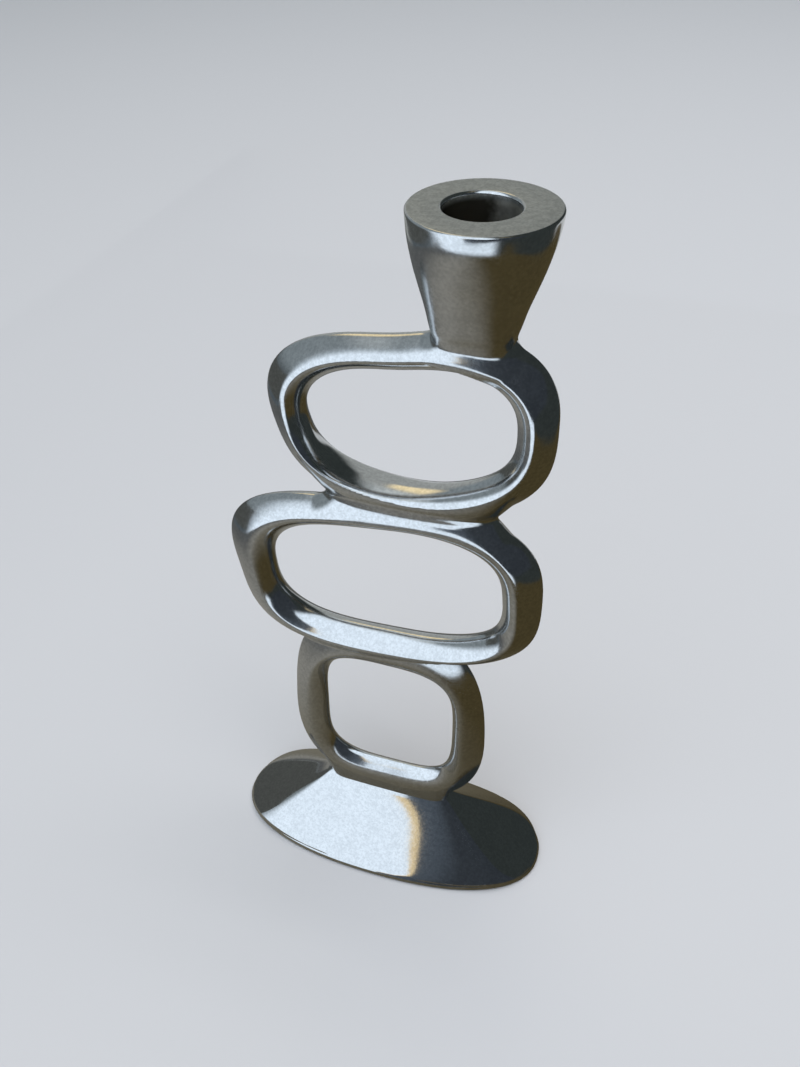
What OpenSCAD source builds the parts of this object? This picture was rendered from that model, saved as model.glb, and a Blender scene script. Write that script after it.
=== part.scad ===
// Sculptural candle holder: three rounded oblong loops stacked between an oval foot and a cup.
// Millimetres, +Z up, +X along the foot, the front faces -Y. The table is at z = 0.

/* [Foot] */
// Length of the oval foot
foot_length = 142; // [134:0.5:150]
// Width of the oval foot, front to back
foot_width = 61.6; // [56:0.2:68]
// Squareness of the foot's outline, 2 is a true ellipse
foot_square = 2.29; // [2:0.01:2.6]
// Height of the rounded rim where the flare starts
foot_rim_height = 3.3; // [3:0.1:4.5]
// Length of the foot's neck under the lower loop
neck_length = 59; // [54:0.5:62]
// Thickness of the foot's neck, front to back
neck_depth = 9.6; // [8:0.2:10.4]
// Squareness of the neck, the folds of the flare start at its corners
neck_square = 6; // [3:0.1:7]
// Hollowness of the flare's faces, 1 is straight
flare_hollow = 1.12; // [1:0.01:1.4]
// Share of the flare's rise that is its steep part at the neck
flare_steep_share = 0.04; // [0:0.01:0.2]
// How fast the folds soften on the way down, 1 is evenly and less keeps them crisp for longer
fold_softening = 0.6; // [0.4:0.05:1.6]

/* [Felt] */
// Thickness of the felt pad
felt_thickness = 1.5; // [1:0.1:2]
// How far the felt stands out under the casting
felt_proud = 0.5; // [0.3:0.1:0.8]
// Distance from the foot's outline to the felt
felt_inset = 5; // [4:0.5:10]

/* [Seats between the pieces] */
// Height of the seat between foot and lower loop
foot_seat = 30; // [28.5:0.1:30.8]
// Height of the seat between lower and middle loop
middle_seat = 117.4; // [116.8:0.1:118]
// Height of the seat between middle and upper loop
upper_seat = 192.6; // [192:0.1:193.4]
// Height of the seat under the cup, at the cup's middle
cup_seat = 253.2; // [252.6:0.1:253.8]
// Slope of the seat under the cup, down towards the right
cup_seat_slope = 9.1; // [7:0.1:11]
// Width over which a short neck fades back into its loop
neck_fade = 5; // [3:0.5:7]
// Width over which the long necks between middle and upper loop fade back
long_fade = 22; // [14:1:26]

/* [Lower loop] */
// Middle of the crest line across
lower_x = 0.4; // [-1:0.05:1.5]
// Middle of the crest line above the table
lower_z = 75.95; // [74:0.05:77]
// Width inside the crest line
lower_width = 68.2; // [64:0.1:72]
// Height inside the crest line
lower_height = 80.5; // [78:0.1:82]
// Thickness of the loop, front to back
lower_depth = 10.9; // [9.6:0.1:13]
// Lean to the left, of outside edge, crest and hole
lower_lean = [-1.4, -0.6, -1]; // [-3:0.1:3]
// Width of the outside face at the sides
lower_outside_side = 7.95; // [6:0.05:9]
// Width of the outside face at top and bottom
lower_outside_cap = 13.8; // [11:0.05:15]
// Width of the hole's face at the sides
lower_hole_side = 6.25; // [5:0.05:7]
// Width of the hole's face at top and bottom
lower_hole_cap = 8.6; // [6.5:0.05:9]
// Shift of the outside edge, across and up
lower_outside_shift = [0.35, 3.7]; // [0:0.01:5]
// Shift of the hole's edge, across and up
lower_hole_shift = [0.74, 1.36]; // [0:0.01:2.5]
// Squareness of outside edge, crest and hole
lower_square = [2.62, 2.89, 3.91]; // [2.2:0.01:4.5]
// Pear shape across, of outside edge, crest and hole
lower_pear_across = [0.005, -0.015, 0.006]; // [-0.03:0.001:0.03]
// Pear shape upwards, of outside edge, crest and hole
lower_pear_up = [-0.018, -0.005, -0.003]; // [-0.03:0.001:0.03]

/* [Middle loop] */
// Middle of the crest line across
middle_x = 1.9; // [0.5:0.05:2.5]
// Middle of the crest line above the table
middle_z = 154.55; // [153.5:0.05:155.5]
// Width inside the crest line
middle_width = 103.3; // [100:0.1:108]
// Height inside the crest line
middle_height = 65; // [63.5:0.1:66.5]
// Thickness of the loop, front to back
middle_depth = 14.9; // [12:0.1:16]
// Lean to the left, of outside edge, crest and hole
middle_lean = [4.8, 4.4, 4]; // [3:0.1:5.5]
// Width of the outside face at the sides
middle_outside_side = 8.6; // [7:0.05:9.5]
// Width of the outside face at top and bottom
middle_outside_cap = 5.55; // [5:0.05:6.5]
// Width of the hole's face at the sides
middle_hole_side = 6.75; // [6:0.05:8]
// Width of the hole's face at top and bottom
middle_hole_cap = 6.4; // [5.5:0.05:7]
// Shift of the outside edge, across and up
middle_outside_shift = [-2.03, -0.95]; // [-2.5:0.01:1]
// Shift of the hole's edge, across and up
middle_hole_shift = [0.72, 0.43]; // [0:0.01:2.5]
// Squareness of outside edge, crest and hole
middle_square = [3.12, 2.96, 2.83]; // [2.5:0.01:3.6]
// Pear shape across, of outside edge, crest and hole
middle_pear_across = [0.021, -0.003, -0.017]; // [-0.03:0.001:0.03]
// Pear shape upwards, of outside edge, crest and hole
middle_pear_up = [0.024, 0.01, -0.003]; // [-0.03:0.001:0.03]

/* [Upper loop] */
// Middle of the crest line across
upper_x = 13.55; // [12.5:0.05:14.5]
// Middle of the crest line above the table
upper_z = 226.65; // [225.8:0.05:227.5]
// Width inside the crest line
upper_width = 82.8; // [80:0.1:86]
// Height inside the crest line
upper_height = 55; // [53.5:0.1:56]
// Thickness of the loop, front to back
upper_depth = 15.2; // [13.8:0.1:16]
// Lean to the left, of outside edge, crest and hole
upper_lean = [7.4, 5.5, 7.7]; // [4.5:0.1:8.5]
// Width of the outside face at the sides
upper_outside_side = 7.25; // [6:0.05:8]
// Width of the outside face at top and bottom
upper_outside_cap = 6.8; // [6:0.05:7.5]
// Width of the hole's face at the sides
upper_hole_side = 5.6; // [4.8:0.05:6.2]
// Width of the hole's face at top and bottom
upper_hole_cap = 5; // [4.4:0.05:5.4]
// Shift of the outside edge, across and up
upper_outside_shift = [-0.15, -0.89]; // [-1.2:0.01:0.8]
// Shift of the hole's edge, across and up
upper_hole_shift = [-1, -1.87]; // [-2.2:0.01:0.5]
// Squareness of outside edge, crest and hole
upper_square = [2.71, 2.45, 2.55]; // [2.2:0.01:3.2]
// Pear shape across, of outside edge, crest and hole
upper_pear_across = [-0.015, -0.019, 0]; // [-0.03:0.001:0.01]
// Pear shape upwards, of outside edge, crest and hole
upper_pear_up = [0.041, 0.032, 0.034]; // [0:0.001:0.045]

/* [Section of the loops] */
// Fullness of the section between crest and edges, 1 is a plain diamond and 2 an oval
section_full = 1.3; // [1.15:0.05:1.8]
// Steps round a loop
loop_steps = 84; // [72:4:92]
// Steps round a loop's section
section_steps = 16; // [12:4:16]

/* [Candle cup] */
// Height of the cup's face above the table
cup_top = 300; // [296:0.5:304]
// Diameter of the cup's rim
cup_diameter = 43.8; // [41:0.1:46]
// Place of the rim's middle across
cup_x = 34.8; // [34:0.1:35.6]
// Place of the cup's root across
cup_root_x = 32.95; // [32.4:0.05:33.4]
// Length of the cup's root on the loop
cup_root_length = 24.2; // [22:0.1:25]
// Thickness of the cup's root, front to back
cup_root_depth = 14.6; // [13:0.1:15.2]
// Diameter of the candle's bore
bore_diameter = 22; // [20:0.1:23]
// Place of the bore across
bore_x = 34.1; // [33.6:0.1:34.6]
// Depth of the bore's straight wall with its bevelled mouth
bore_depth = 25; // [18:0.5:26]

/* [Dowels] */
// Diameter of the dowels that pin the pieces together
dowel_diameter = 4; // [3:0.1:4.4]
// Length of the dowels between foot and loops
dowel_length = 8; // [6:0.5:9]
// Distance between two dowels of a seat
dowel_spacing = 28; // [22:1:32]
// Length of the dowels in the cup's root
cup_dowel_length = 7.5; // [5:0.1:7.6]
// Distance between the two dowels in the cup's root
cup_dowel_spacing = 13; // [11:0.5:14]
// Play between a dowel and its hole
dowel_play = 0.1; // [0.05:0.05:0.2]

/* [Hidden] */
metal = [0.7, 0.71, 0.72];
steel = [0.56, 0.57, 0.58];
felt = [0.12, 0.13, 0.14];

casting_bottom = felt_proud;
no_seat = [0, 0, 400, -400, neck_fade];
foot_steps = 72;
cup_steps = 64;

// Necks on the seats: middle of the left and right fade, height, how far the full shape reaches
// past the seat, width of the fades
lower_foot_neck = [-neck_length / 2 + 1, neck_length / 2 - 1, foot_seat, 20, neck_fade];
lower_top_neck = [-33, 34, middle_seat, 12, neck_fade];
middle_low_neck = [-33, 34, middle_seat, 5, neck_fade];
middle_top_neck = [-13, 38, upper_seat, 12, long_fade];
upper_low_neck = [-13, 38, upper_seat, 11, long_fade];

// Middle of each pair of dowels
lower_dowel_x = 0.5;
upper_dowel_x = 12;

// Smooth step from 0 to 1
function ramp(v) = let (c = min(1, max(0, v))) c * c * (3 - 2 * c);

// 1 over the span of a neck, fading to 0 past its ends
function over_neck(x, neck) =
  ramp((x - neck[0]) / neck[4] + 0.5) * ramp((neck[1] - x) / neck[4] + 0.5);

// Point of a leaning rounded oblong in the front view, at the angle t round its middle
function oblong(mid, half, square, pear, lean, t) =
  let (
    r = pow(pow(abs(cos(t)) / half[0], square) + pow(abs(sin(t)) / half[1], square), -1 / square),
    k = 1 + pear[0] * cos(3 * t) + pear[1] * sin(3 * t)
  )
  [mid[0] + r * k * cos(t + lean), mid[1] + r * k * sin(t + lean)];

// Point of the outside edge, drawn out into the necks towards the neighbouring pieces
function drawn_out(p, mid_z, low, high) =
  p[1] < mid_z
    ? [p[0], p[1] - over_neck(p[0], low) * max(0, p[1] - low[2] + low[3])]
    : [p[0], p[1] + over_neck(p[0], high) * max(0, high[2] + high[3] - p[1])];

// Two triangles for each cell between neighbouring rings of a closed band
function band_faces(rings, steps, closed) =
  [
    for (i = [0 : (closed ? rings : rings - 1) - 1])
      for (j = [0 : steps - 1])
        let (
          i2 = (i + 1) % rings,
          j2 = (j + 1) % steps,
          a = i * steps + j,
          b = i * steps + j2,
          c = i2 * steps + j2,
          d = i2 * steps + j
        )
        for (f = [[a, b, c], [a, c, d]]) f
  ];

// Loop of cast metal: crest lines front and back, full faces to the outside edge and to the hole
module loop(mid, half, depth, lean, outside_band, hole_band, outside_shift, hole_shift,
            square, across, up, low, high) {
  points = [
    for (i = [0 : loop_steps - 1])
      let (
        t = 360 * i / loop_steps,
        crest = oblong(mid, half, square[1], [across[1], up[1]], lean[1], t),
        raw = oblong(mid + outside_shift, half + outside_band, square[0], [across[0], up[0]], lean[0], t),
        outside = drawn_out(raw, mid[1], low, high),
        hole = oblong(mid + hole_shift, half - hole_band, square[2], [across[2], up[2]], lean[2], t)
      )
      for (j = [0 : section_steps - 1])
        let (
          a = 360 * j / section_steps,
          edge = cos(a) >= 0 ? outside : hole,
          q = crest + (edge - crest) * pow(abs(cos(a)), 2 / section_full),
          y = depth / 2 * sign(sin(a)) * pow(abs(sin(a)), 2 / section_full)
        )
        [q[0], -y, min(high[2], max(low[2], q[1]))]
  ];
  polyhedron(points = points, faces = band_faces(loop_steps, section_steps, true), convexity = 6);
}

// Point of a rounded oblong in the plan view
function plan_point(half, square, t) =
  [
    half[0] * sign(cos(t)) * pow(abs(cos(t)), 2 / square),
    half[1] * sign(sin(t)) * pow(abs(sin(t)), 2 / square)
  ];

// Solid through plan outlines: each is [middle x, half length, half width, squareness, z, slope]
module stack(levels, steps) {
  points = [
    for (v = levels)
      for (j = [0 : steps - 1])
        let (p = plan_point([v[1], v[2]], v[3], 360 * j / steps))
        [v[0] + p[0], p[1], v[4] + v[5] * p[0]]
  ];
  last = (len(levels) - 1) * steps;
  faces = concat(
    band_faces(len(levels), steps, false),
    [[for (j = [0 : steps - 1]) steps - 1 - j]],
    [[for (j = [0 : steps - 1]) last + j]]
  );
  polyhedron(points = points, faces = faces, convexity = 4);
}

// Height of the flare between rim and neck, s is 0 at the neck and 1 at the rim
function flare_height(s) =
  foot_rim_height + (foot_seat - foot_rim_height)
    * ((1 - flare_steep_share) * pow(1 - s, flare_hollow) + flare_steep_share * pow(1 - s, 8));

// Plan outline of the flare at s
function flare_level(s) =
  let (
    inset = 0.9,
    long = neck_length / 2 + (foot_length / 2 - inset - neck_length / 2) * s,
    wide = neck_depth / 2 + (foot_width / 2 - inset - neck_depth / 2) * s,
    square = foot_square + (neck_square - foot_square) * pow(1 - s, fold_softening)
  )
  [0, long, wide, square, flare_height(s), 0];

// Plan outline of the foot's rounded rim, drawn in by some millimetres
function rim_level(inset, z) =
  [0, foot_length / 2 - inset, foot_width / 2 - inset, foot_square, z, 0];

module dowel_pair(x, z, spacing, length, play) {
  for (side = [-1, 1])
    translate([x + side * spacing / 2, 0, z - length / 2 - play])
      cylinder(d = dowel_diameter + play, h = length + 2 * play, $fn = 32);
}

// Slope of the cup's seat, up to the right
seat_rise = -tan(cup_seat_slope);

module cup_dowel_pair(play) {
  for (side = [-1, 1])
    translate([
      cup_root_x + side * cup_dowel_spacing / 2,
      0,
      cup_seat + seat_rise * side * cup_dowel_spacing / 2 - cup_dowel_length * 0.45 - play
    ])
      cylinder(d = dowel_diameter + play, h = cup_dowel_length + 2 * play, $fn = 32);
}

// Room for the cup's root in the top of the upper loop, with a sloping floor
module root_room() {
  difference() {
    translate([cup_root_x, 0, cup_seat - 10])
      linear_extrude(height = 40)
        polygon([
          for (j = [0 : cup_steps - 1])
            plan_point([cup_root_length / 2 + 0.05, upper_depth / 2 + 0.4], 5, 360 * j / cup_steps)
        ]);
    translate([cup_root_x, 0, cup_seat])
      rotate([0, cup_seat_slope, 0])
        translate([-40, -20, -30])
          cube([80, 40, 30]);
  }
}

// Oval foot with a rounded rim, a flare with four soft folds, and a recess for the felt
module foot() {
  levels = [
    rim_level(felt_inset, felt_thickness),
    rim_level(felt_inset, casting_bottom),
    rim_level(0.8, casting_bottom),
    rim_level(0, 1.3),
    rim_level(0, 1.9),
    rim_level(0.12, foot_rim_height - 0.9),
    rim_level(0.45, foot_rim_height - 0.45),
    for (s = [1, 0.85, 0.7, 0.55, 0.4, 0.28, 0.18, 0.1, 0.04, 0]) flare_level(s)
  ];
  color(metal)
    difference() {
      stack(levels, foot_steps);
      dowel_pair(0, foot_seat, dowel_spacing, dowel_length, dowel_play);
    }
}

module felt_pad() {
  inset = felt_inset + 0.1;
  color(felt)
    linear_extrude(height = felt_thickness)
      polygon([
        for (j = [0 : foot_steps - 1])
          plan_point([foot_length / 2 - inset, foot_width / 2 - inset], foot_square, 360 * j / foot_steps)
      ]);
}

module lower_loop() {
  color(metal)
    difference() {
      loop([lower_x, lower_z], [lower_width, lower_height] / 2, lower_depth, lower_lean,
           [lower_outside_side, lower_outside_cap], [lower_hole_side, lower_hole_cap],
           lower_outside_shift, lower_hole_shift, lower_square, lower_pear_across, lower_pear_up,
           lower_foot_neck, lower_top_neck);
      dowel_pair(0, foot_seat, dowel_spacing, dowel_length, dowel_play);
      dowel_pair(lower_dowel_x, middle_seat, dowel_spacing, dowel_length, dowel_play);
    }
}

module middle_loop() {
  color(metal)
    difference() {
      loop([middle_x, middle_z], [middle_width, middle_height] / 2, middle_depth, middle_lean,
           [middle_outside_side, middle_outside_cap], [middle_hole_side, middle_hole_cap],
           middle_outside_shift, middle_hole_shift, middle_square, middle_pear_across,
           middle_pear_up, middle_low_neck, middle_top_neck);
      dowel_pair(lower_dowel_x, middle_seat, dowel_spacing, dowel_length, dowel_play);
      dowel_pair(upper_dowel_x, upper_seat, dowel_spacing, dowel_length, dowel_play);
    }
}

module upper_loop() {
  color(metal)
    difference() {
      loop([upper_x, upper_z], [upper_width, upper_height] / 2, upper_depth, upper_lean,
           [upper_outside_side, upper_outside_cap], [upper_hole_side, upper_hole_cap],
           upper_outside_shift, upper_hole_shift, upper_square, upper_pear_across, upper_pear_up,
           upper_low_neck, no_seat);
      root_room();
      dowel_pair(upper_dowel_x, upper_seat, dowel_spacing, dowel_length, dowel_play);
      cup_dowel_pair(dowel_play);
    }
}

// Share of the cup's rise at the height z
function cup_share(z) = (z - cup_seat - 3) / (cup_top - cup_seat - 3.8);

// Plan outline of the cup: half length, half width and squareness at the height z
function cup_level(z, long_share, wide_share, square) =
  let (
    u = cup_share(z),
    r = cup_diameter / 2,
    long = cup_root_length / 2 + (r - cup_root_length / 2) * long_share,
    wide = cup_root_depth / 2 + (r - cup_root_depth / 2) * wide_share
  )
  [cup_root_x + (cup_x - cup_root_x) * u, long, wide, square, z, 0];

// Cup that swells from an oblong root to a round rim, bored for a candle
module candle_cup() {
  r = cup_diameter / 2;
  rise = cup_top - cup_seat;
  levels = [
    [cup_root_x, cup_root_length / 2, cup_root_depth / 2, 5, cup_seat, seat_rise],
    [cup_root_x, cup_root_length / 2, cup_root_depth / 2, 5, cup_seat + rise * 0.08, seat_rise * 0.25],
    [cup_root_x, cup_root_length / 2, cup_root_depth / 2 + 1.1, 4.2, cup_seat + rise * 0.165, 0],
    cup_level(cup_seat + rise * 0.23, 0.125, 0.15, 3.4),
    cup_level(cup_seat + rise * 0.38, 0.31, 0.3, 2.85),
    cup_level(cup_seat + rise * 0.55, 0.56, 0.51, 2.45),
    cup_level(cup_seat + rise * 0.65, 0.7, 0.65, 2.3),
    cup_level(cup_seat + rise * 0.75, 0.825, 0.79, 2.16),
    cup_level(cup_seat + rise * 0.86, 0.93, 0.93, 2.05),
    cup_level(cup_seat + rise * 0.94, 0.985, 0.985, 2),
    cup_level(cup_top - 0.8, 1, 1, 2),
    [cup_x, r - 0.25, r - 0.25, 2, cup_top - 0.25, 0],
    [cup_x, r - 0.8, r - 0.8, 2, cup_top, 0]
  ];
  color(metal)
    difference() {
      stack(levels, cup_steps);
      translate([bore_x, 0, cup_top - bore_depth])
        cylinder(d = bore_diameter, h = bore_depth + 1, $fn = 96);
      translate([bore_x, 0, cup_top - 1])
        cylinder(d1 = bore_diameter, d2 = bore_diameter + 4, h = 2, $fn = 96);
      translate([bore_x, 0, cup_top - bore_depth - 2.5])
        cylinder(d1 = 2, d2 = bore_diameter, h = 2.5, $fn = 96);
      cup_dowel_pair(dowel_play);
    }
}

module foot_dowels() {
  color(steel) dowel_pair(0, foot_seat, dowel_spacing, dowel_length, 0);
}

module lower_dowels() {
  color(steel) dowel_pair(lower_dowel_x, middle_seat, dowel_spacing, dowel_length, 0);
}

module upper_dowels() {
  color(steel) dowel_pair(upper_dowel_x, upper_seat, dowel_spacing, dowel_length, 0);
}

module cup_dowels() {
  color(steel) cup_dowel_pair(0);
}

foot();
felt_pad();
lower_loop();
middle_loop();
upper_loop();
candle_cup();
foot_dowels();
lower_dowels();
upper_dowels();
cup_dowels();
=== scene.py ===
"""Looks of the candle holder: three satin metal loops between an oval foot and a candle cup."""

import math

import bmesh
import bpy
import numpy as np
from mathutils import Matrix, Vector


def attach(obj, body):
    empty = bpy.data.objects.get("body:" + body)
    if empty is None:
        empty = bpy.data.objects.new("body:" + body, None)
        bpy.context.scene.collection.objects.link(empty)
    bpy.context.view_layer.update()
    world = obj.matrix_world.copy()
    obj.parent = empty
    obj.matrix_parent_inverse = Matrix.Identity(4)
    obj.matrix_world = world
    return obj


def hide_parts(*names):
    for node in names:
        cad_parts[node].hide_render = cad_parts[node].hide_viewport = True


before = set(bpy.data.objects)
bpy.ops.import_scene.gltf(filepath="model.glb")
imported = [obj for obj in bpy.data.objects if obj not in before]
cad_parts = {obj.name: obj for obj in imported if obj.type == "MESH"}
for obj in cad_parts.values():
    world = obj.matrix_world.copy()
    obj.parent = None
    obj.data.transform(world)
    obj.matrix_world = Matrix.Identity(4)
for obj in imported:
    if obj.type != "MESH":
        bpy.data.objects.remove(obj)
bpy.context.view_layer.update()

MM = 0.001
# Points this close to a cut, in metres, count as on it
WELD = 1e-7

# Sizes in millimetres. An outline: middle x, middle z, half width, half height, squareness, lean,
# pear across, pear up. A neck: middles of its left and right fade, their width, and the height that
# the outside edge is drawn out to. The depth is half the thickness front to back.
UPPER = {
    "depth": 7.62,
    "outside": (13.39, 225.78, 48.62, 34.28, 2.714, 0.130, -0.015, 0.041),
    "crest": (13.54, 226.67, 41.39, 27.49, 2.450, 0.096, -0.019, 0.032),
    "hole": (12.53, 224.80, 35.80, 22.48, 2.553, 0.134, 0.0, 0.034),
    "necks": [(-13, 38, 22, 187.0)],
}
MIDDLE = {
    "depth": 7.47,
    "outside": (-0.11, 153.61, 60.25, 38.01, 3.115, 0.083, 0.021, 0.024),
    "crest": (1.92, 154.56, 51.67, 32.48, 2.962, 0.077, -0.003, 0.010),
    "hole": (2.64, 154.99, 44.93, 26.07, 2.826, 0.070, -0.017, -0.003),
    "necks": [(-13, 38, 22, 204.6)],
}
LOWER = {
    "depth": 5.43,
    "outside": (0.74, 79.65, 42.09, 54.06, 2.622, -0.025, 0.005, -0.018),
    "crest": (0.39, 75.57, 34.12, 40.66, 3.0, -0.011, -0.015, -0.005),
    "hole": (1.13, 77.33, 27.89, 31.64, 3.911, -0.018, 0.006, -0.003),
    "necks": [(-25, 25, 11, 14.0)],
}
# Fullness of the section, 1 for a diamond and 2 for an ellipse, and how soft its two ridges are
SECTION_FULL, CREST_ROUND, EDGE_ROUND = 1.3, 0.10, 0.06
# Where a neck starts above or below the crest's middle, as a share of its half height, and over what
NECK_FROM, NECK_OVER = 0.35, 0.3
# Keeps the slope of a loop's field near 1
FIELD_SCALE = 0.75

# Where one piece ends and the next begins
MIDDLE_SEAT, UPPER_SEAT = 117.4, 192.6
# The lower loop's skin inside the foot and the middle loop: floor, lid, the lid's bow and its middle
LOWER_FLOOR, LOWER_LID, LOWER_LID_BOW, LOWER_LID_X = 28.0, 120.2, 0.0048, -6
# Heights past which the middle and the upper loop fade out inside each other, over what, how fast
MIDDLE_FADE, UPPER_FADE, FADE_RATE = (193.5, 5), (192.0, 4), 3
# Fillets between the two upper loops, over the lower loop and round the cup's root
FILLET_UPPER, FILLET_LOWER, FILLET_ROOT = 2.2, 0.8, 2.6

CUP_TOP, CUP_R, CUP_X, CUP_EDGE = 300.0, 21.9, 34.8, 0.8
BORE_R, BORE_X, BORE_DEPTH, BORE_BEVEL = 11.0, 34.1, 25.0, 1.0
CONE_DEPTH, CONE_TIP_R = 2.5, 1.0
ROOT_X, ROOT_LONG, ROOT_TOP, CUP_SEAT, CUP_SLOPE = 32.95, 12.1, 262.2, 253.2, -0.16
# The cup's root is looked for from this height up, and cut this far outside its length
ROOT_FROM, ROOT_SPARE = 245, 0.05
# The slanting lower end of the cup inside the upper loop, the top of its computed wall, and the
# height where the wall is cut off for the rim's own loft
CUP_END, CUP_END_SLOPE, WALL_TOP, LIP_Z = 251.6, 0.3, 297.5, 296.0
# The cup's middle moves from the root's to the rim's from LEAN_FROM up, over LEAN_OVER
LEAN_FROM, LEAN_OVER = 256.2, 43.0
# The cup's plan going up: height, half length, half width, squareness
CUP_PLAN = (
    (249.0, 9.0, 6.6, 2.9),
    (253.2, 12.1, 7.3, 3.4),
    (257.0, 12.1, 7.35, 3.3),
    (260.9, 12.3, 8.3, 3.1),
    (264.0, 13.3, 9.5, 2.9),
    (271.0, 15.1, 11.9, 2.6),
    (278.9, 17.6, 14.9, 2.35),
    (283.6, 19.0, 16.9, 2.25),
    (288.3, 20.2, 18.9, 2.14),
    (291.5, 20.9, 20.25, 2.08),
    (294.5, 21.4, 21.3, 2.03),
    (296.5, 21.65, 21.65, 2.0),
    (299.2, 21.9, 21.9, 2.0),
)

FOOT_SEAT = 30.0
FOOT_LONG, FOOT_WIDE, FOOT_SQUARE = 71.0, 30.8, 2.29
NECK_LONG, NECK_WIDE, NECK_SQUARE = 29.5, 4.8, 6.0
# The rim's upper curve from EDGE_Z to RIM_Z, and the round lower edge below it
RIM_Z, RIM_INSET, EDGE_Z, EDGE_ROUNDING, UNDER_INSET = 3.3, 0.9, 1.45, 0.9, 1.2
FLARE_HOLLOW, STEEP_SHARE, STEEP_POWER, FOLD_SOFTENING = 1.12, 0.04, 8, 0.6
CASTING_Z, FELT_TOP, FELT_INSET, FELT_GAP = 0.5, 1.5, 5.0, 0.02
# The flare's levels, crowded towards the neck, and the two that run on inside the lower loop
FLARE_LEVELS, LEVEL_CROWDING, FLARE_PAST = 70, 1.2, (-0.05, -0.1)


def outline_level(x, z, o):
    """How far out a point lies from the middle of an outline, 1 on the outline itself."""
    ox, oz, half_x, half_z, square, lean, across, up = o
    dx, dz = x - ox, z - oz
    a = np.arctan2(dz, dx) - lean
    r = (np.abs(np.cos(a) / half_x) ** square + np.abs(np.sin(a) / half_z) ** square) ** (-1 / square)
    r = r * (1 + across * np.cos(3 * a) + up * np.sin(3 * a))
    return np.hypot(dx, dz) / r


def ramp(v):
    """Smooth step from 0 to 1."""
    c = np.clip(v, 0, 1)
    return c * c * (3 - 2 * c)


def section_share(x, z, loop):
    """0 on a loop's crest line, 1 at its outside edge and at the hole's edge, more past them."""
    out, crest, hole = (outline_level(x, z, loop[k]) for k in ("outside", "crest", "hole"))
    inside = (1 - crest) / np.maximum(hole - crest, 1e-3)
    mid_x, mid_z, half_z = loop["crest"][0], loop["crest"][1], loop["crest"][3]
    rise = z - mid_z
    reach = np.hypot(x - mid_x, rise)
    past = reach * (1 - 1 / crest)
    width = reach * (crest - out) / crest + 1e-3
    for left, right, fade, edge in loop["necks"]:
        side = 1 if edge > mid_z else -1
        share = ramp((x - left) / fade + 0.5) * ramp((right - x) / fade + 0.5)
        share = share * ramp((side * rise / half_z - NECK_FROM) / NECK_OVER)
        drawn = reach * ((edge - mid_z) / (side * np.maximum(side * rise, 1.0)) - 1 / crest)
        width = width + share * np.maximum(drawn - width, 0)
    return np.maximum(np.where(crest >= 1, past / width, inside), 0)


def rounded(v, m):
    """A share with its sharp start at 0 rounded by m, still 1 at 1."""
    return (np.sqrt(v * v + m * m) - m) / (math.sqrt(1 + m * m) - m)


def loop_field(share, y, depth):
    """Below 0 inside a loop and above 0 outside it, in about millimetres."""
    k, v = rounded(share, CREST_ROUND), rounded(np.abs(y) / depth, EDGE_ROUND)
    return FIELD_SCALE * depth * ((k**SECTION_FULL + v**SECTION_FULL) ** (1 / SECTION_FULL) - 1)


def fade(rise, over):
    """Added to a loop's field past its end, so that it ends softly inside its neighbour."""
    return FADE_RATE * np.maximum(rise / over, 0) ** 2


def soft_min(a, b, r):
    """The lesser of two fields, with a fillet of about r where they meet."""
    h = np.clip(0.5 + 0.5 * (b - a) / r, 0, 1)
    return b + (a - b) * h - r * h * (1 - h)


def smooth_through(points, at):
    """Smooth curve through rising points, each (place, value), with no overshoot."""
    px, pv = np.array(points).T
    step = np.diff(px)
    rise = np.diff(pv) / step
    slope = np.zeros_like(px)
    steep = 2 * np.abs(rise[:-1] * rise[1:]) / np.maximum(np.abs(rise[:-1] + rise[1:]), 1e-9)
    slope[1:-1] = np.sign(rise[1:]) * np.where(rise[:-1] * rise[1:] > 0, steep, 0)
    slope[-1] = rise[-1]
    at = np.clip(at, px[0], px[-1])
    i = np.clip(np.searchsorted(px, at) - 1, 0, len(step) - 1)
    h = step[i]
    t = (at - px[i]) / h
    start, end = pv[i], pv[i + 1]
    return (
        start * (1 + 2 * t) * (1 - t) ** 2
        + end * t * t * (3 - 2 * t)
        + h * slope[i] * t * (1 - t) ** 2
        - h * slope[i + 1] * t * t * (1 - t)
    )


# The fine steps of the cup's plan, and over how many on each side it is eased
CUP_FINE_Z = np.linspace(CUP_PLAN[0][0], CUP_TOP, 511)
EASE_STEPS = 15


def cup_curve(column):
    """A column of the cup's plan on fine steps, eased so that no bend shows."""
    points = [(p[0], p[column]) for p in CUP_PLAN]
    v = smooth_through(points, CUP_FINE_Z)
    ease = np.hanning(2 * EASE_STEPS + 1)
    padded = np.concatenate([np.full(EASE_STEPS, v[0]), v, np.full(EASE_STEPS, v[-1])])
    return np.convolve(padded, ease / ease.sum(), "valid")


CUP_LONG, CUP_WIDE, CUP_SQUARE = cup_curve(1), cup_curve(2), cup_curve(3)


def cup_size(z):
    """Middle, half length, half width and squareness of the cup's plan at the height z."""
    long, wide, square = (np.interp(z, CUP_FINE_Z, v) for v in (CUP_LONG, CUP_WIDE, CUP_SQUARE))
    mid = ROOT_X + (CUP_X - ROOT_X) * np.clip((z - LEAN_FROM) / LEAN_OVER, 0, 1)
    return mid, long, wide, square


def cup_field(x, y, z):
    """Below 0 inside the cup's outer wall and above 0 outside it."""
    mid, long, wide, square = cup_size(z)
    g = (np.abs((x - mid) / long) ** square + np.abs(y / wide) ** square) ** (1 / square) - 1
    end = CUP_END - CUP_END_SLOPE * (x - ROOT_X) - z
    return np.maximum(np.maximum(g * wide, end), z - WALL_TOP)


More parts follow.
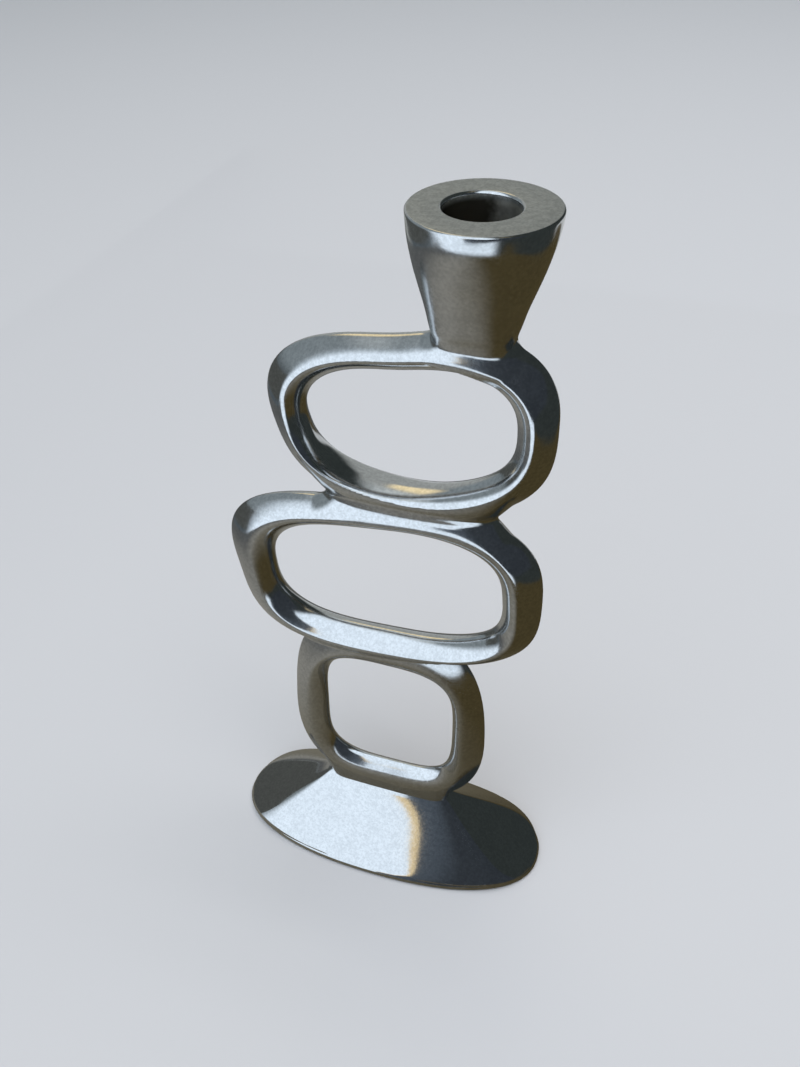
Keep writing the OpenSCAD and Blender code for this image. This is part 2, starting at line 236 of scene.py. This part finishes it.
def body(x, y, z, up, mid, low):
    """Loops and cup run together; up, mid and low are the three loops' section shares."""
    lid = LOWER_LID + LOWER_LID_BOW * (x - LOWER_LID_X) ** 2
    f_low = np.maximum(np.maximum(loop_field(low, y, LOWER["depth"]), LOWER_FLOOR - z), z - lid)
    f_mid = loop_field(mid, y, MIDDLE["depth"]) + fade(z - MIDDLE_FADE[0], MIDDLE_FADE[1])
    f_up = loop_field(up, y, UPPER["depth"]) + fade(UPPER_FADE[0] - z, UPPER_FADE[1])
    f = soft_min(soft_min(f_up, f_mid, FILLET_UPPER), f_low, FILLET_LOWER)
    return soft_min(f, cup_field(x, y, z), FILLET_ROOT)


def field(p):
    """The whole skin's field at points, one per row."""
    x, y, z = p[:, 0], p[:, 1], p[:, 2]
    return body(x, y, z, *(section_share(x, z, k) for k in (UPPER, MIDDLE, LOWER)))


def gradient(p, e=0.02):
    """The direction in which the field grows at each point, found over a distance of e each way."""
    g = np.empty_like(p)
    for k in range(3):
        d = np.zeros(3)
        d[k] = e
        g[:, k] = (field(p + d) - field(p - d)) / (2 * e)
    return g


def settle(v, rounds=4, least_slope=0.05, longest=0.4):
    """Moves each point onto the surface."""
    for _ in range(rounds):
        g = gradient(v)
        s = field(v) / np.maximum((g * g).sum(1), least_slope)
        v = v - np.clip(s, -longest, longest)[:, None] * g
    return v


def nets(f, lo, step):
    """Points and four-sided faces of the surface f = 0 on a grid."""
    inside = f < 0
    nx, ny, nz = f.shape
    total = np.zeros((nx - 1, ny - 1, nz - 1), np.int8)
    for a in (0, 1):
        for b in (0, 1):
            for c in (0, 1):
                total += inside[a : nx - 1 + a, b : ny - 1 + b, c : nz - 1 + c]
    cells = np.argwhere((total > 0) & (total < 8))
    index = np.full(total.shape, -1, np.int32)
    index[tuple(cells.T)] = np.arange(len(cells))
    at = np.zeros((len(cells), 3))
    count = np.zeros(len(cells))
    for axis in range(3):
        o1, o2 = [k for k in range(3) if k != axis]
        for a in (0, 1):
            for b in (0, 1):
                p = cells.copy()
                p[:, o1] += a
                p[:, o2] += b
                q = p.copy()
                q[:, axis] += 1
                fp, fq = f[tuple(p.T)].astype(float), f[tuple(q.T)].astype(float)
                hit = (fp < 0) != (fq < 0)
                cross = p.astype(float)
                cross[:, axis] += np.where(hit, fp / np.where(hit, fp - fq, 1), 0)
                at += cross * hit[:, None]
                count += hit
    quads = []
    for axis in range(3):
        o1, o2 = [k for k in range(3) if k != axis]
        a = np.take(inside, range(0, f.shape[axis] - 1), axis)
        b = np.take(inside, range(1, f.shape[axis]), axis)
        e = np.argwhere(a != b)
        e = e[(e[:, o1] > 0) & (e[:, o2] > 0)]
        s = inside[tuple(e.T)]
        corners = []
        for da, db in ((-1, -1), (0, -1), (0, 0), (-1, 0)):
            g = e.copy()
            g[:, o1] += da
            g[:, o2] += db
            corners.append(index[tuple(g.T)])
        q = np.stack(corners, 1)
        back = ~s if axis != 1 else s
        q[back] = q[back][:, ::-1]
        quads.append(q)
    return lo + step * at / count[:, None], np.concatenate(quads)


# The grid that the skin is found on: its corners, the boxes of it that hold the loops and the cup,
# and the field's value outside both boxes
GRID_LOW, GRID_HIGH = np.array([-63.5, -24.0, 26.0]), np.array([64.5, 24.0, 299.0])
LOOPS_BOX = (-63, 64), (-10, 10), (26, 262)
CUP_BOX = (6, 62), (-23.5, 23.5), (250, 298.6)
EMPTY = 5.0


def body_surface(step):
    """The loops and the cup's wall as one fine skin of points and faces."""
    lo = GRID_LOW
    n = np.ceil((GRID_HIGH - lo) / step).astype(int) + 1
    ax = [lo[k] + step * np.arange(n[k]) for k in range(3)]
    f = np.full(n, EMPTY, np.float32)
    gx, gz = np.meshgrid(ax[0], ax[2], indexing="ij")
    shares = [section_share(gx, gz, k) for k in (UPPER, MIDDLE, LOWER)]
    for span in (LOOPS_BOX, CUP_BOX):
        s = [slice(*np.searchsorted(a, b)) for a, b in zip(ax, span)]
        x, y, z = ax[0][s[0]][:, None, None], ax[1][s[1]][None, :, None], ax[2][s[2]][None, None, :]
        f[s[0], s[1], s[2]] = body(x, y, z, *(a[s[0], s[2]][:, None, :] for a in shares))
    v, q = nets(f, lo, step)
    return settle(v), q


def new_object(name, data):
    o = bpy.data.objects.new(name, data)
    bpy.context.scene.collection.objects.link(o)
    return o


def mesh_from(name, verts, faces):
    """Mesh of points in millimetres."""
    mesh = bpy.data.meshes.new(name)
    mesh.from_pydata((np.asarray(verts) * MM).tolist(), [], [list(map(int, f)) for f in faces])
    mesh.update()
    return mesh


def keep_smooth(mesh, normals=None):
    """Shades a mesh smooth, by the normals that are given or by its own."""
    mesh.polygons.foreach_set("use_smooth", [True] * len(mesh.polygons))
    if normals is not None:
        mesh.normals_split_custom_set_from_vertices(normals.tolist())
    mesh.update()


def field_normals(mesh):
    """Normals at a mesh's points, taken from the field."""
    co = np.empty(len(mesh.vertices) * 3)
    mesh.vertices.foreach_get("co", co)
    g = gradient(co.reshape(-1, 3) / MM)
    return g / np.maximum(np.linalg.norm(g, axis=1), 1e-9)[:, None]


def cut_part(name, v, q, keep, planes, inside=None):
    """Piece of the skin between the two heights in keep, with only the faces that inside allows.

    It is cut along planes, each a point, a normal and whether the side that this points to goes.
    """
    heights = v[q][:, :, 2]
    q = q[(heights.max(1) >= keep[0]) & (heights.min(1) <= keep[1])]
    used, q = np.unique(q, return_inverse=True)
    q = q.reshape(-1, 4)
    mesh = mesh_from(name, v[used], q)
    bm = bmesh.new()
    bm.from_mesh(mesh)
    for point, normal, drop in planes:
        bmesh.ops.bisect_plane(
            bm, geom=bm.verts[:] + bm.edges[:] + bm.faces[:], dist=WELD,
            plane_co=Vector(point) * MM, plane_no=Vector(normal), clear_outer=drop, clear_inner=False,
        )
    if inside is not None:
        bmesh.ops.delete(
            bm, geom=[f for f in bm.faces if not inside(f.calc_center_median() / MM)], context="FACES"
        )
    bm.to_mesh(mesh)
    bm.free()
    keep_smooth(mesh, field_normals(mesh))
    return new_object(name, mesh)


def superellipse(mid, long, wide, square, t):
    """Points of a plan outline at the angles t."""
    c, s = np.cos(t), np.sin(t)
    x = long * np.sign(c) * np.abs(c) ** (2 / square)
    y = wide * np.sign(s) * np.abs(s) ** (2 / square)
    return mid + x, y


def lofted(name, levels, steps, close_first=False, close_last=False):
    """Skin through plan outlines given as (middle x, half length, half width, squareness, z)."""
    t = 2 * math.pi * np.arange(steps) / steps
    rings = []
    for mid, long, wide, square, z in levels:
        x, y = superellipse(mid, long, wide, square, t)
        rings.append(np.stack([x, y, np.full(steps, z)], 1))
    v = np.concatenate(rings)
    k = np.arange(steps)
    faces = []
    for i in range(len(levels) - 1):
        a, b = i * steps + k, i * steps + (k + 1) % steps
        faces += np.stack([a, b, b + steps, a + steps], 1).tolist()
    if close_first:
        faces.append(list(range(steps))[::-1])
    if close_last:
        faces.append([(len(levels) - 1) * steps + j for j in range(steps)])
    return mesh_from(name, v, faces)


def foot_levels():
    """From the recess for the felt over the underside and the rim, up the flare to the neck."""

    def rim(inset, z):
        return 0, FOOT_LONG - inset, FOOT_WIDE - inset, FOOT_SQUARE, z

    levels = [
        rim(FELT_INSET, FELT_TOP + FELT_GAP), rim(FELT_INSET, CASTING_Z), rim(UNDER_INSET, CASTING_Z),
    ]
    for a in np.radians(np.linspace(-60, 0, 6)):
        inset = EDGE_ROUNDING - EDGE_ROUNDING * math.cos(a)
        levels.append(rim(inset, CASTING_Z + EDGE_ROUNDING + EDGE_ROUNDING * math.sin(a)))
    for a in np.radians(np.linspace(5, 45, 9)):
        inset = RIM_INSET * (1 - math.cos(a)) / (1 - math.sqrt(0.5))
        levels.append(rim(inset, EDGE_Z + (RIM_Z - EDGE_Z) * math.sin(a) / math.sqrt(0.5)))
    for s in np.append(np.linspace(1, 0, FLARE_LEVELS)[1:] ** LEVEL_CROWDING, FLARE_PAST):
        long = NECK_LONG + (FOOT_LONG - RIM_INSET - NECK_LONG) * s
        wide = NECK_WIDE + (FOOT_WIDE - RIM_INSET - NECK_WIDE) * s
        square = FOOT_SQUARE + (NECK_SQUARE - FOOT_SQUARE) * (1 - max(s, 0)) ** FOLD_SOFTENING
        steep = STEEP_SHARE * (1 - max(s, 0)) ** STEEP_POWER
        rise = (1 - STEEP_SHARE) * (1 - s) ** FLARE_HOLLOW + steep
        levels.append((0, long, wide, square, RIM_Z + (FOOT_SEAT - RIM_Z) * rise))
    return levels


def cup_top_levels():
    """From the cup's wall at LIP_Z over the rim and the flat face, down the bore to its cone."""
    levels = []
    for z in np.linspace(LIP_Z, CUP_TOP - CUP_EDGE, 5):
        mid, long, wide, square = (float(k) for k in cup_size(np.array(z)))
        levels.append((mid, long, wide, square, z))
    for a in np.radians(np.linspace(15, 90, 6)):
        r = CUP_R - CUP_EDGE + CUP_EDGE * math.cos(a)
        levels.append((CUP_X, r, r, 2, CUP_TOP - CUP_EDGE + CUP_EDGE * math.sin(a)))
    for a in np.radians(np.linspace(0, 90, 6)):
        r = BORE_R + BORE_BEVEL - BORE_BEVEL * math.sin(a)
        levels.append((BORE_X, r, r, 2, CUP_TOP - BORE_BEVEL + BORE_BEVEL * math.cos(a)))
    for z in np.linspace(CUP_TOP - 2 * BORE_BEVEL, CUP_TOP - BORE_DEPTH, 12):
        levels.append((BORE_X, BORE_R, BORE_R, 2, z))
    levels.append((BORE_X, CONE_TIP_R, CONE_TIP_R, 2, CUP_TOP - BORE_DEPTH - CONE_DEPTH))
    return levels


def joined(name, objects):
    """One object of several meshes, their normals kept."""
    bpy.ops.object.select_all(action="DESELECT")
    for o in objects:
        o.select_set(True)
    bpy.context.view_layer.objects.active = objects[0]
    bpy.ops.object.join()
    objects[0].name = name
    return objects[0]


# Step of the skin's grid, and the points round the lofts of the cup's rim and of the foot
GRID = 0.48
CUP_STEPS, FOOT_STEPS = 256, 320
skin_v, skin_q = body_surface(GRID)


def in_root(p):
    """Whether a point belongs to the cup's root, which is let into the upper loop."""
    return (
        abs(p[0] - ROOT_X) < ROOT_LONG + ROOT_SPARE
        and p[2] > CUP_SEAT + CUP_SLOPE * (p[0] - ROOT_X)
        and p[2] > ROOT_FROM
    )


def level(z, drop=False, up=1):
    """Plane at a height, for cut_part; up is 1 or -1, the side that goes with drop."""
    return (0, 0, z), (0, 0, up), drop


root_planes = [
    ((ROOT_X, 0, CUP_SEAT), (-CUP_SLOPE, 0, 1), False),
    ((ROOT_X - ROOT_LONG - ROOT_SPARE, 0, 0), (1, 0, 0), False),
    ((ROOT_X + ROOT_LONG + ROOT_SPARE, 0, 0), (1, 0, 0), False),
    level(ROOT_TOP),
]

# The two heights in each call only pick the part of the skin that the piece is cut from
lower_loop = cut_part("lower_loop_form", skin_v, skin_q, (0, 120), [level(MIDDLE_SEAT, True)])
middle_loop = cut_part("middle_loop_form", skin_v, skin_q, (115, 195),
                       [level(MIDDLE_SEAT, True, -1), level(UPPER_SEAT, True)])
upper_loop = cut_part("upper_loop_form", skin_v, skin_q, (190, 266),
                      root_planes + [level(UPPER_SEAT, True, -1)],
                      inside=lambda p: not in_root(p) and p[2] < ROOT_TOP)
cup_wall = cut_part("cup_wall", skin_v, skin_q, (244, 400), root_planes + [level(LIP_Z, True)],
                    inside=lambda p: in_root(p) or p[2] > ROOT_TOP)
cup_top_mesh = lofted("cup_top", cup_top_levels(), CUP_STEPS, close_last=True)
keep_smooth(cup_top_mesh)
cup = joined("candle_cup_form", [cup_wall, new_object("cup_top", cup_top_mesh)])
foot_mesh = lofted("foot_form", foot_levels(), FOOT_STEPS, close_first=True, close_last=True)
keep_smooth(foot_mesh)
foot = new_object("foot_form", foot_mesh)

for piece, node in ((foot, "foot"), (lower_loop, "lower_loop"), (middle_loop, "middle_loop"),
                    (upper_loop, "upper_loop"), (cup, "candle_cup")):
    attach(piece, "root")
    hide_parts(node)


# Depth of the speckle on polished metal, of the marks on the ground face, and of the felt's fuzz
POLISH_DEPTH, GROUND_DEPTH, FUZZ_DEPTH = 0.000012, 0.00004, 0.0003
# How fine each noise is, in features per metre: polished metal, ground face, felt, ground pins
GRAIN, CLOUD, MARK = 1100, 160, 620
FACE_GRAIN, FACE_PATCH = 1300, 420
FUZZ, LINES = 900, 400
# The two colours that each noise runs between, and the bore's painted shade on its dark side and
# painted light on its lit side
METAL_TONES = (0.605, 0.615, 0.625), (0.745, 0.755, 0.765)
FACE_TONES = (0.43, 0.435, 0.42), (0.62, 0.625, 0.605)
BORE_TONES = (0.11, 0.10, 0.08), (0.85, 0.82, 0.74)
FELT_TONES = (0.02, 0.022, 0.025), (0.09, 0.095, 0.1)
STEEL_TONES = (0.45, 0.46, 0.47), (0.62, 0.63, 0.64)
FLOOR_TONE = (0.55, 0.555, 0.58)


class Nodes:
    """Short calls for a tree of shader nodes."""

    def __init__(self, tree):
        self.tree = tree

    def add(self, kind, **settings):
        node = self.tree.nodes.new(kind)
        for key, value in settings.items():
            setattr(node, key, value)
        return node

    def link(self, source, target):
        self.tree.links.new(source, target)

    def math(self, operation, *values):
        node = self.add("ShaderNodeMath", operation=operation)
        for socket, value in zip(node.inputs, values):
            self.feed(socket, value)
        return node.outputs[0]

    def feed(self, socket, value):
        """Links a node's output to a socket, or sets the socket to a number or colour."""
        if isinstance(value, bpy.types.NodeSocket):
            self.link(value, socket)
        else:
            socket.default_value = (*value, 1) if isinstance(value, tuple) else value

    def step(self, value, low, high, rising=True):
        """Smooth step of a value, 0 to 1 between low and high, or 1 to 0."""
        return self.span(value, low, high, *((0, 1) if rising else (1, 0)), "SMOOTHSTEP")

    def mix(self, factor, first, second):
        """Mixed colour; an RGBA mix has its factor first and its two colours at 6 and 7."""
        node = self.add("ShaderNodeMix", data_type="RGBA")
        for index, value in ((0, factor), (6, first), (7, second)):
            self.feed(node.inputs[index], value)
        return node.outputs[2]

    def noise(self, place, scale, detail):
        node = self.add("ShaderNodeTexNoise")
        node.inputs["Scale"].default_value = scale
        node.inputs["Detail"].default_value = detail
        self.link(place, node.inputs["Vector"])
        return node.outputs["Fac"]

    def span(self, value, low, high, to_low, to_high, kind="LINEAR"):
        """A value between low and high carried over to another span."""
        node = self.add("ShaderNodeMapRange", interpolation_type=kind)
        self.link(value, node.inputs["Value"])
        for socket, number in zip(node.inputs[1:5], (low, high, to_low, to_high)):
            socket.default_value = number
        return node.outputs["Result"]

    def colour_ramp(self, value, low, high, *colours):
        """One of two colours, or between them where the value is between low and high."""
        node = self.add("ShaderNodeValToRGB")
        for stop, place, colour in zip(node.color_ramp.elements, (low, high), colours):
            stop.position, stop.color = place, (*colour, 1)
        self.link(value, node.inputs["Fac"])
        return node.outputs["Color"]

    def bump(self, height, strength, distance):
        node = self.add("ShaderNodeBump")
        node.inputs["Strength"].default_value = strength
        node.inputs["Distance"].default_value = distance
        self.link(height, node.inputs["Height"])
        return node.outputs["Normal"]


def material(name, metallic=0.0):
    """New material, its shader and short calls for its nodes."""
    m = bpy.data.materials.new(name)
    m.use_nodes = True
    bsdf = m.node_tree.nodes["Principled BSDF"]
    bsdf.inputs["Metallic"].default_value = metallic
    return m, bsdf, Nodes(m.node_tree)


def satin_metal(name, shine):
    """Polished casting with a fine speckle; shine is the least and the most roughness."""
    m, bsdf, n = material(name, 1.0)
    coords = n.add("ShaderNodeTexCoord").outputs["Object"]
    grain = n.noise(coords, GRAIN, 3)
    cloud = n.noise(coords, CLOUD, 4)
    mark = n.noise(coords, MARK, 3)
    tone = n.math("ADD", n.math("MULTIPLY", grain, 0.45), n.math("MULTIPLY", cloud, 0.2))
    tone = n.math("ADD", tone, n.math("MULTIPLY", mark, 0.35))
    n.link(n.mix(n.step(tone, 0.36, 0.64), *METAL_TONES), bsdf.inputs["Base Color"])
    n.link(n.span(tone, 0.3, 0.7, *shine), bsdf.inputs["Roughness"])
    dents = n.math("ADD", mark, n.math("MULTIPLY", grain, 0.25))
    n.link(n.bump(dents, 0.3, POLISH_DEPTH), bsdf.inputs["Normal"])
    return m


def matt_metal():
    """The cup's face, left as it was ground, and the bore, painted with shade on its left and with
    light on its right.
    """
    m, bsdf, n = material("matt_metal", 1.0)
    place = n.add("ShaderNodeTexCoord").outputs["Object"]
    grain = n.noise(place, FACE_GRAIN, 4)
    patch = n.noise(place, FACE_PATCH, 3)
    split = n.add("ShaderNodeSeparateXYZ")
    n.link(place, split.inputs[0])
    # Inside the bore the face gives way to painted shade, dark on the left, and painted light, lit on
    # the right; the patch noise makes their border ragged
    inside = n.step(split.outputs[2], (CUP_TOP - 3.0) * MM, (CUP_TOP - 1.0) * MM, False)
    painted_light_x = n.math("ADD", split.outputs[0], n.math("MULTIPLY", patch, 6.0 * MM))
    lit = n.step(painted_light_x, (BORE_X + 1.0) * MM, (BORE_X + 9.0) * MM)
    bore = n.mix(lit, *BORE_TONES)
    tone = n.math("ADD", n.math("MULTIPLY", grain, 0.5), n.math("MULTIPLY", patch, 0.5))
    face = n.mix(n.step(tone, 0.36, 0.64), *FACE_TONES)
    n.link(n.mix(inside, face, bore), bsdf.inputs["Base Color"])
    n.link(n.span(tone, 0.3, 0.7, 0.36, 0.50), bsdf.inputs["Roughness"])
    n.link(n.bump(tone, 0.4, GROUND_DEPTH), bsdf.inputs["Normal"])
    return m


def felt():
    m, bsdf, n = material("felt")
    bsdf.inputs["Roughness"].default_value = 0.95
    fuzz = n.noise(n.add("ShaderNodeTexCoord").outputs["Object"], FUZZ, 6)
    n.link(n.colour_ramp(fuzz, 0.3, 0.8, *FELT_TONES), bsdf.inputs["Base Color"])
    n.link(n.bump(fuzz, 0.6, FUZZ_DEPTH), bsdf.inputs["Normal"])
    return m


def ground_steel():
    """Ground pins: fine lines round them."""
    m, bsdf, n = material("dowel_steel", 1.0)
    stretch = n.add("ShaderNodeMapping")
    stretch.inputs["Scale"].default_value = (1, 1, 12)
    n.link(n.add("ShaderNodeTexCoord").outputs["Object"], stretch.inputs["Vector"])
    lines = n.noise(stretch.outputs["Vector"], LINES, 2)
    n.link(n.colour_ramp(lines, 0, 1, *STEEL_TONES), bsdf.inputs["Base Color"])
    n.link(n.span(lines, 0, 1, 0.25, 0.45), bsdf.inputs["Roughness"])
    return m


def dress(obj, mat):
    obj.data.materials.clear()
    obj.data.materials.append(mat)


metal = satin_metal("satin_metal", (0.10, 0.155))
for piece in (lower_loop, middle_loop, upper_loop):
    dress(piece, metal)
dress(foot, satin_metal("foot_metal", (0.050, 0.080)))
dress(cup, satin_metal("cup_metal", (0.14, 0.19)))
cup.data.materials.append(matt_metal())
# The cup's matt faces: those within FACE_DEPTH of the top, and in the bore those from its cone up to
# BORE_MOUTH below the top, within BORE_REACH of its axis
FACE_DEPTH, BORE_MOUTH, BORE_REACH = 0.04, 0.95, BORE_R + 0.6
bore_end = CUP_TOP - BORE_DEPTH - 3.0
for face in cup.data.polygons:
    place = face.center / MM
    from_axis = math.hypot(place.x - BORE_X, place.y)
    in_bore = bore_end < place.z < CUP_TOP - BORE_MOUTH and from_axis < BORE_REACH
    if place.z > CUP_TOP - FACE_DEPTH or in_bore:
        face.material_index = 1


def repaint(node, mat):
    """Gives a CAD node that is shown a new material."""
    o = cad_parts[node]
    if not o.material_slots:
        o.data.materials.append(mat)
    for s in o.material_slots:
        s.material = mat


repaint("felt_pad", felt())
steel_mat = ground_steel()
for node in ("foot_dowels", "lower_dowels", "upper_dowels", "cup_dowels"):
    repaint(node, steel_mat)

# The camera of the photograph: lens in pixels of its width, place in millimetres, angles in radians
PHOTO_WIDTH = 800
FOCAL_PX = 949.0
SENSOR_MM = 36
CAM_POS = (94.003, -247.059, 395.088)
CAM_YAW, CAM_PITCH, CAM_ROLL = 0.33443, 0.69022, -0.02655

forward = Vector((-math.sin(CAM_YAW) * math.cos(CAM_PITCH), math.cos(CAM_YAW) * math.cos(CAM_PITCH),
                  -math.sin(CAM_PITCH)))
right = Vector((math.cos(CAM_YAW), math.sin(CAM_YAW), 0))
up = right.cross(forward)
cr, sr = math.cos(CAM_ROLL), math.sin(CAM_ROLL)
cam_x, cam_y = right * cr + up * sr, up * cr - right * sr
cam_data = bpy.data.cameras.new("camera")
cam_data.sensor_fit = "HORIZONTAL"
cam_data.sensor_width = SENSOR_MM
cam_data.lens = FOCAL_PX / PHOTO_WIDTH * SENSOR_MM
cam_data.clip_start, cam_data.clip_end = 0.01, 50
cam = new_object("camera", cam_data)
spin = Matrix((cam_x, cam_y, -forward)).transposed().to_4x4()
cam.matrix_world = Matrix.Translation(Vector(CAM_POS) * MM) @ spin
bpy.context.scene.camera = cam


def floor_material():
    m, bsdf, _ = material("floor")
    bsdf.inputs["Base Color"].default_value = (*FLOOR_TONE, 1)
    bsdf.inputs["Roughness"].default_value = 0.7
    return m


FLOOR_SIZE = 6.0
bpy.ops.mesh.primitive_plane_add(size=FLOOR_SIZE, location=(0, 0, 0))
floor = bpy.context.object
floor.name = "floor"
dress(floor, floor_material())
# The metal mirrors the glowing table card instead, a painted reflection
floor.visible_glossy = False

# Parts of the room as the metal mirrors it. Bearings in degrees: 0 is +Y, behind the holder, 90 is +X,
# -90 is -X and -180 is -Y, towards the camera. Each: bearing from, to, softness of each side,
# height from, to, softness, colour. Later ones cover earlier ones.
ROOM = [
    # floor of the room on the left, past the table
    (-150, -50, 20, 20, -90, 4, 16, (0.095, 0.115, 0.130)),
    # grey wall on the left
    (-150, -50, 20, 20, 4, 90, 20, (0.24, 0.28, 0.30)),
    # far wall
    (-55, 5, 20, 14, -40, 66, 20, (0.38, 0.40, 0.39)),
    # ceiling
    (-210, -5, 40, 50, 62, 90, 14, (0.62, 0.67, 0.68)),
    # window
    (-212, -118, 16, 22, -45, 78, 14, (1.02, 1.16, 1.30)),
    # far end of the pale table
    (-20, 62, 10, 20, -36, -6, 8, (0.55, 0.57, 0.58)),
    # ceiling lamp
    (-62, -22, 12, 8, 46, 60, 7, (1.15, 0.95, 0.58)),
    # lamp shade far right
    (-262, -232, 14, 10, 62, 74, 6, (0.40, 0.34, 0.22)),
]
# What no patch covers, and the bearing at which the count of degrees starts again
ROOM_DARK = (0.034, 0.041, 0.040)
BEARING_SEAM = 40


def room_world():
    """World that shows the patches of ROOM over ROOM_DARK."""
    world = bpy.data.worlds.new("studio")
    world.use_nodes = True
    n = Nodes(world.node_tree)
    coords = n.add("ShaderNodeTexCoord")
    split = n.add("ShaderNodeSeparateXYZ")
    n.link(coords.outputs["Generated"], split.inputs[0])
    x, y, z = split.outputs
    bearing = n.math("DEGREES", n.math("ARCTAN2", x, y))
    bearing = n.math("WRAP", bearing, BEARING_SEAM, BEARING_SEAM - 360)
    height = n.math("DEGREES", n.math("ARCSINE", z))
    colour = ROOM_DARK
    for b0, b1, soft0, soft1, h0, h1, soft_h, part in ROOM:
        mask = n.step(bearing, b0 - soft0 / 2, b0 + soft0 / 2)
        mask = n.math("MULTIPLY", mask, n.step(bearing, b1 - soft1 / 2, b1 + soft1 / 2, False))
        mask = n.math("MULTIPLY", mask, n.step(height, h0 - soft_h / 2, h0 + soft_h / 2))
        mask = n.math("MULTIPLY", mask, n.step(height, h1 - soft_h / 2, h1 + soft_h / 2, False))
        colour = n.mix(mask, colour, part)
    back = world.node_tree.nodes["Background"]
    n.link(colour, back.inputs["Color"])
    return world


bpy.context.scene.world = room_world()

# Painted reflection of the table top, on a glowing card that only the metal sees: grey near the foot
# on the left, dark brown on the right
TABLE_NEAR, TABLE_MID = (0.19, 0.18, 0.145), (0.27, 0.265, 0.24)
TABLE_FAR, TABLE_RIGHT = (0.11, 0.115, 0.115), (0.070, 0.055, 0.025)
TABLE_CORNERS = [(-0.42, -0.30), (0.40, -0.30), (0.40, 0.60), (-0.42, 0.60)]
# Painted reflections of a dark screen in front of the window, lit on the left and dark on the right,
# and of the brass edge beside it, a painted golden highlight, standing at y = SCREEN_Y
SCREEN_Y = -0.50
SCREEN = [
    (-0.087, 0), (-0.087, 0.16), (-0.039, 0.40), (0.04, 0.42), (0.20, 0.47), (0.40, 0.62),
    (0.60, 0.95), (1.6, 0.95), (1.6, 0),
]
SCREEN_LIT, SCREEN_DARK = (0.085, 0.105, 0.13), (0.036, 0.043, 0.052)
BRASS_EDGE = [(-0.101, 0.16), (-0.053, 0.40), (-0.039, 0.40), (-0.087, 0.16)]
# Painted reflection of a dark seat on the left, standing at x = SEAT_X
SEAT_X = -0.50
SEAT = [(-0.20, 0), (0.90, 0), (0.90, 0.24), (-0.20, 0.24)]
SEAT_TONE, BRASS_TONE = (0.085, 0.09, 0.085), (1.0, 0.78, 0.44)
# Height of the table's card over the floor
TABLE_LIFT = 0.0002


def painted_reflection_card(name, corners, colour):
    """Flat glowing card that only mirrored light meets, a painted reflection; colour is plain, or a
    call that makes its nodes.
    """
    m, bsdf, n = material(name)
    glow = n.add("ShaderNodeEmission")
    n.feed(glow.inputs["Color"], colour(n) if callable(colour) else colour)
    n.link(glow.outputs[0], m.node_tree.nodes["Material Output"].inputs["Surface"])
    m.node_tree.nodes.remove(bsdf)
    mesh = bpy.data.meshes.new(name)
    mesh.from_pydata(corners, [], [tuple(range(len(corners)))])
    card = new_object(name, mesh)
    dress(card, m)
    card.visible_camera = card.visible_diffuse = card.visible_shadow = False
    card.visible_transmission = card.visible_volume_scatter = False


def position(n):
    """Place on a card, and its x, in metres."""
    place = n.add("ShaderNodeNewGeometry").outputs["Position"]
    split = n.add("ShaderNodeSeparateXYZ")
    n.link(place, split.inputs[0])
    return place, split.outputs[0]


def table_colour(n):
    place, x = position(n)
    length = n.add("ShaderNodeVectorMath", operation="LENGTH")
    n.link(place, length.inputs[0])
    reach = length.outputs["Value"]
    left = n.mix(n.step(reach, 0.06, 0.15), TABLE_NEAR, TABLE_MID)
    left = n.mix(n.step(reach, 0.14, 0.36), left, TABLE_FAR)
    return n.mix(n.step(x, -0.10, 0.12), left, TABLE_RIGHT)


def screen_colour(n):
    return n.mix(n.step(position(n)[1], -0.07, 0.10), SCREEN_LIT, SCREEN_DARK)


# Glowing cards that only the metal sees: painted reflections of the table, a screen, a seat and a
# brass edge
painted_reflection_card("mirrored_table", [(x, y, TABLE_LIFT) for x, y in TABLE_CORNERS], table_colour)
painted_reflection_card("mirrored_screen", [(x, SCREEN_Y, z) for x, z in SCREEN], screen_colour)
painted_reflection_card("mirrored_seat", [(SEAT_X, y, z) for y, z in SEAT], SEAT_TONE)
painted_reflection_card("mirrored_brass", [(x, SCREEN_Y, z) for x, z in BRASS_EDGE], BRASS_TONE)

# One large soft lamp above; the metal mirrors the room instead of it
LAMP_PLACE, LAMP_AIM = Vector((0.7, 0.1, 3.0)), Vector((0, 0.2, 0.0))
lamp = bpy.data.lights.new("softbox", "AREA")
lamp.size, lamp.energy, lamp.color = 2.8, 92, (1.0, 0.985, 0.975)
softbox = new_object("softbox", lamp)
softbox.location = LAMP_PLACE
softbox.rotation_euler = (LAMP_AIM - LAMP_PLACE).to_track_quat("-Z", "Y").to_euler()
softbox.visible_glossy = False

bpy.context.scene.view_settings.view_transform = "Standard"
